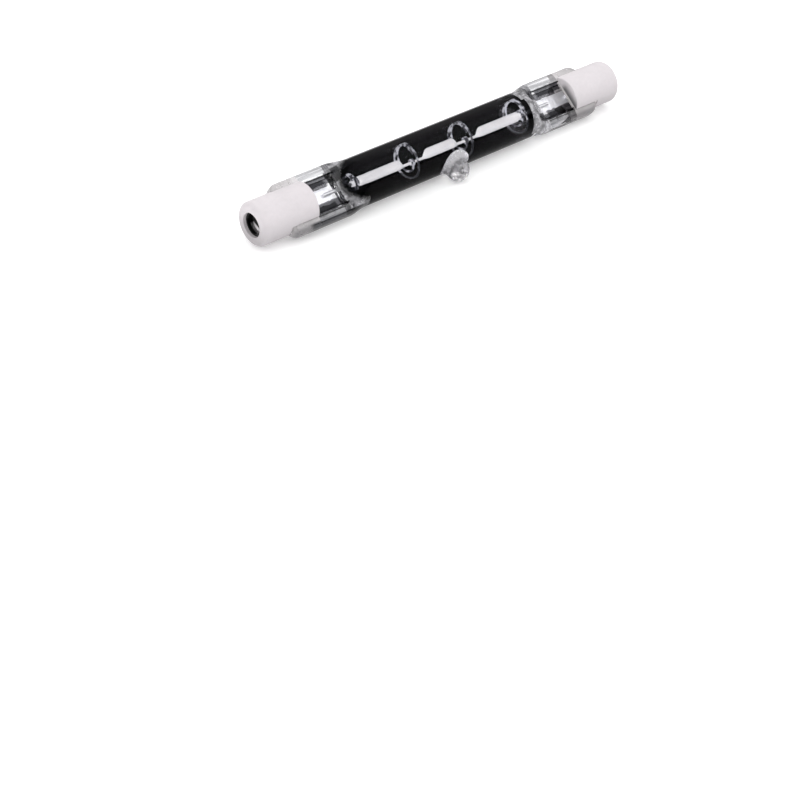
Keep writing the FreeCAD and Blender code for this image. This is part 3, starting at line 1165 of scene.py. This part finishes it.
# Painted light: glow that makes the filament read white through the tinted tube
def make_painted_glow_wire(wires):
    light = wires.filament_colour
    return metal_material("painted glow wire", light, faded(light, 0.8), grain=4000, cloud=300,
                          roughness=(0.3, 0.5), bump=0.2, glow=wires.filament_painted_glow)[0]


def make_support_wire(wires):
    """Wire with painted light: its glow is broken into bright and dim stretches, brightest on top.
    """
    wire, tree, shader = metal_material("support wire", (0.75, 0.75, 0.78), (0.5, 0.5, 0.53),
                                        grain=2500, cloud=300, roughness=(0.25, 0.45), bump=0.3,
                                        glow=wires.support_painted_glow)
    bright, dim = (0.85, 0.85, 0.86), (0.035, 0.035, 0.04)
    unevenness, bright_from = 28.0, (14.6, 15.4)
    place = bulb_place(tree)
    patches = noise(tree, place.vector, scale=1.4, detail=2)
    height = calculate(tree, "MULTIPLY_ADD", patches, unevenness, place.y)
    light = mix_colours(tree, edge(tree, height, *bright_from), opaque(dim), opaque(bright))
    set_inputs(tree, shader, {"Emission Color": light})
    return wire


# Painted light: a faint glow that keeps the foil bright inside the glass
def make_rolled_foil():
    return metal_material("rolled foil", (0.95, 0.95, 0.97), (0.8, 0.8, 0.83), grain=900,
                          cloud=250, roughness=(0.35, 0.55), bump=0.3, glow=0.15)[0]


# Painted light: a faint glow that keeps the lead bright inside the glass
def make_drawn_lead():
    return metal_material("drawn lead", (0.85, 0.85, 0.87), (0.65, 0.65, 0.67), grain=1800,
                          cloud=300, roughness=(0.3, 0.45), bump=0.3, glow=0.15)[0]


def make_ceramic(caps):
    """Matte ceramic with painted shade: greyer on the side that the bulb lies on, and shaded at the
    mouth.
    """
    ceramic, tree, shader = grained_material("matte ceramic", caps.colour,
                                             faded(caps.colour, 0.93), grain=1500, cloud=200,
                                             roughness=(0.55, 0.75), bump=0.35)
    underside_shade = (6.5 * MM, 1.0 * MM)
    mouth, above_slot, shaded_lower_side = cap_low.x / MM, (3.5, 1.8), (2.0, 0.6)
    shadow = (0.15, 0.145, 0.15)
    from_floor = split_place(tree, object_place(tree)).z
    recolour(tree, shader, faded(caps.colour, 0.6), [edge(tree, from_floor, *underside_shade)])
    place = bulb_place(tree)
    along = uneven_distance(tree, place, place.x, 0.1)
    recolour(tree, shader, shadow,
             [edge(tree, along, mouth + 0.22, mouth + 0.08),
              edge(tree, place.z, *above_slot), edge(tree, place.y, *shaded_lower_side)])
    return ceramic


def make_cement():
    return grained_material("rough cement", (0.86, 0.83, 0.83), (0.68, 0.65, 0.65), grain=1800,
                            cloud=400, roughness=(0.8, 0.95), bump=0.9)[0]


def make_cup_metal():
    """Metal darkened as painted shade of the recess, with a painted highlight: a bright crescent
    where the cup's floor rounds into its lower wall.
    """
    metal, tree, shader = metal_material("contact metal", (0.05, 0.05, 0.05), (0.02, 0.02, 0.02),
                                         grain=1200, cloud=250, roughness=(0.25, 0.45), bump=0.3)
    gleam_side = SEAT.to_3x3().inverted() @ Vector((0, 0.47, -0.88))
    lower_wall, floor_side, bright = (1.2, 1.45), (38.2, 37.9), (0.85, 0.83, 0.84)
    place = bulb_place(tree)
    lean = add_node(tree, "ShaderNodeVectorMath", {0: place.vector, 1: gleam_side},
                    operation="DOT_PRODUCT").outputs["Value"]
    along = calculate(tree, "ABSOLUTE", place.x)
    recolour(tree, shader, bright, [edge(tree, lean, *lower_wall), edge(tree, along, *floor_side)])
    return metal


# Studio

def add_floor(studio):
    deselect_all()
    bpy.ops.mesh.primitive_plane_add(size=4.0, location=(0, 0, 0))
    floor = start_piece("studio_floor")
    material, tree, shader = new_material("seamless floor")
    set_inputs(tree, shader, {"Base Color": opaque(studio.floor_colour), "Roughness": 0.9,
                              "Emission Color": (1, 1, 1, 1),
                              "Emission Strength": studio.floor_glow})
    dress(floor, material)


def add_soft_lights(studio):
    """Round lights, each with its place, its size and its share of the main light's power."""
    lights = {"foil light": ((0.44, -0.37, 0.56), 0.9, 0.7),
              "left light": ((-0.5, -0.1, 0.6), 1.5, 1.0),
              "back light": ((0.1, 0.6, 0.5), 1.5, 0.6)}
    for name, (place, size, share) in lights.items():
        light = bpy.data.lights.new(name, "AREA")
        light.shape = "DISK"
        light.size = size
        light.energy = studio.key_power * share
        lamp = bpy.data.objects.new(name, light)
        bpy.context.scene.collection.objects.link(lamp)
        lamp.location = place
        lamp.rotation_euler = (AXIS - Vector(place)).to_track_quat("-Z", "Y").to_euler()


def set_world(studio):
    """Even light from above that fades below, while the camera sees it white all round."""
    world = bpy.data.worlds.new("studio light")
    bpy.context.scene.world = world
    world.use_nodes = True
    tree = world.node_tree
    sky_place = add_node(tree, "ShaderNodeTexCoord").outputs["Generated"]
    inputs = {"Value": split_place(tree, sky_place).z, "From Min": 0.15, "From Max": 0.7,
              "To Min": 0.15}
    rise = add_node(tree, "ShaderNodeMapRange", inputs, interpolation_type="SMOOTHSTEP")
    seen = add_node(tree, "ShaderNodeLightPath").outputs["Is Camera Ray"]
    light = calculate(tree, "MAXIMUM", rise.outputs["Result"], seen)
    set_inputs(tree, tree.nodes["Background"], {"Color": light, "Strength": studio.sky_strength})
    arrange_nodes(tree)


def direction(azimuth, height):
    """Direction from the bulb, turned from the front and raised by angles in degrees."""
    azimuth, height = math.radians(azimuth), math.radians(height)
    return Vector((math.sin(azimuth) * math.cos(height),
                   -math.cos(azimuth) * math.cos(height), math.sin(height)))


def add_camera(studio):
    """Camera that looks down on the left end, at the height and turn of the photograph."""
    place, look = direction(-42.789, 26.913), direction(-41.5, 34.255)
    distance = 324.23 * MM
    lens = bpy.data.cameras.new("camera")
    lens.lens = studio.lens
    lens.sensor_width = 36
    lens.clip_start = 0.01
    camera = bpy.data.objects.new("camera", lens)
    bpy.context.scene.collection.objects.link(camera)
    camera.location = AXIS + place * distance
    camera.rotation_euler = look.to_track_quat("Z", "Y").to_euler()
    bpy.context.scene.camera = camera


# Operators

class BULB_OT_envelope(bpy.types.Operator):
    """Quartz envelope with its tube tinted near black as painted shade, clear pinch seals and
    exhaust nub
    """
    bl_idname = "bulb.envelope"
    bl_label = "Quartz envelope"

    def execute(self, context):
        glass = context.scene.bulb_glass
        envelope = model_envelope(glass)
        dress(envelope, *(make_glass(glass) for make_glass in GLASS_KINDS.values()))
        split_glass(envelope, glass)
        finish_piece(envelope, "quartz", "quartz_envelope")
        return {"FINISHED"}


class BULB_OT_filament(bpy.types.Operator):
    """Filament wound from one fine wire, glowing with painted light"""
    bl_idname = "bulb.filament"
    bl_label = "Filament"

    def execute(self, context):
        wires = context.scene.bulb_wires
        filament = model_filament(wires)
        dress(filament, make_painted_glow_wire(wires))
        finish_piece(filament, "filament_wire", "filament")
        return {"FINISHED"}


class BULB_OT_supports(bpy.types.Operator):
    """Four spirals of wire that hold the filament in the middle of the tube"""
    bl_idname = "bulb.supports"
    bl_label = "Filament supports"

    def execute(self, context):
        glass, wires = context.scene.bulb_glass, context.scene.bulb_wires
        material = make_support_wire(wires)
        for name, form in support_forms(glass, wires).items():
            support = bent_wire(f"{name}_spiral", support_points(*form, wires),
                                wires.support_radius, bevel_resolution=3)
            dress(support, material)
            finish_piece(support, "support_wire", f"{name}_support")
        return {"FINISHED"}


class BULB_OT_seal_metal(bpy.types.Operator):
    """Foils and leads sealed in the glass"""
    bl_idname = "bulb.seal_metal"
    bl_label = "Foils and leads"

    def execute(self, context):
        finish_pair(model_foil(), "foil_strip", make_rolled_foil(), "foil_metal", "foil")
        drawn = make_drawn_lead()
        for side in SIDES:
            for lead in ("inner_lead", "outer_lead"):
                dress(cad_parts[f"{side}_{lead}"], drawn)
        return {"FINISHED"}


class BULB_OT_caps(bpy.types.Operator):
    """Ceramic caps, the cement inside them and their contact cups"""
    bl_idname = "bulb.caps"
    bl_label = "Caps and contacts"

    def execute(self, context):
        caps = context.scene.bulb_caps
        cap, cup = model_cap(caps), model_contact(caps)
        finish_pair(cap, "cap_ceramic", make_ceramic(caps), "ceramic", "ceramic_cap")
        finish_pair(cup, "contact_cup", make_cup_metal(), "contact_metal", "contact")
        cement = make_cement()
        for side in SIDES:
            dress(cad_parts[f"{side}_cement"], cement)
        return {"FINISHED"}


class BULB_OT_stage(bpy.types.Operator):
    """Pale floor, soft light and camera"""
    bl_idname = "bulb.stage"
    bl_label = "Studio"

    def execute(self, context):
        studio = context.scene.bulb_studio
        add_floor(studio)
        set_world(studio)
        add_soft_lights(studio)
        add_camera(studio)
        context.scene.view_settings.view_transform = "Standard"
        return {"FINISHED"}


class BULB_PT_panel(bpy.types.Panel):
    """Lists the steps and sizes of the bulb"""
    bl_label = "Halogen Bulb"
    bl_idname = "BULB_PT_panel"
    bl_space_type = "VIEW_3D"
    bl_region_type = "UI"
    bl_category = "Halogen Bulb"

    def draw(self, context):
        for operator in OPERATORS:
            self.layout.operator(operator.bl_idname)
        for name, kind in GROUPS.items():
            box = self.layout.box()
            for key in kind.__annotations__:
                box.prop(getattr(context.scene, name), key)


OPERATORS = (BULB_OT_envelope, BULB_OT_filament, BULB_OT_supports, BULB_OT_seal_metal,
             BULB_OT_caps, BULB_OT_stage)
GROUPS = {"bulb_glass": BulbGlass, "bulb_wires": BulbWires, "bulb_caps": BulbCaps,
          "bulb_studio": BulbStudio}


def register():
    for kind in (*GROUPS.values(), *OPERATORS, BULB_PT_panel):
        bpy.utils.register_class(kind)
    for name, kind in GROUPS.items():
        setattr(bpy.types.Scene, name, bpy.props.PointerProperty(type=kind))


def unregister():
    for name in GROUPS:
        delattr(bpy.types.Scene, name)
    for kind in (BULB_PT_panel, *reversed(OPERATORS), *GROUPS.values()):
        bpy.utils.unregister_class(kind)


def main():
    register()
    bpy.ops.bulb.envelope()
    bpy.ops.bulb.filament()
    bpy.ops.bulb.supports()
    bpy.ops.bulb.seal_metal()
    bpy.ops.bulb.caps()
    bpy.ops.bulb.stage()


if __name__ == "__main__":
    main()
